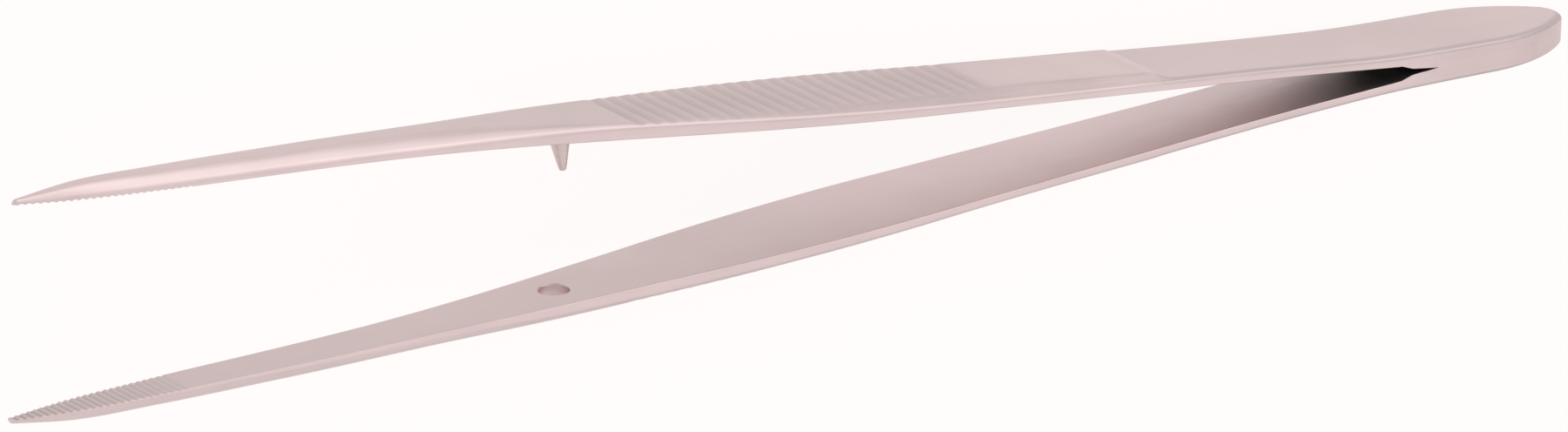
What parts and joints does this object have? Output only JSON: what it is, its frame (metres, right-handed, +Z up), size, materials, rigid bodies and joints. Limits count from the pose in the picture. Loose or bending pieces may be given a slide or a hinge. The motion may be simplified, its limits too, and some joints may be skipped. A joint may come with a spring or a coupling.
{
  "type": "splinter tweezers",
  "caption": "Slim spring tweezers lying on their side: welded heel, fluted finger grips, fine pointed toothed jaws and a guide pin.",
  "frame": {"origin": "centre of the bounding box at its lowest point, where the widest part of the grips touches the surface", "axes": "+X along the tweezers towards the welded heel, +Y from the lower arm to the upper arm, +Z up across the width, since the tweezers lie on their side"},
  "size_m": [0.1304, 0.0166, 0.0092],
  "materials": {
    "arm_steel": "satin, finely ground along the arms",
    "pin_steel": "satin, turned"
  },
  "bodies": {
    "root": {"upper_arm": "arm_steel", "lower_arm": "arm_steel", "guide_pin": "pin_steel"}
  },
  "joints": []
}
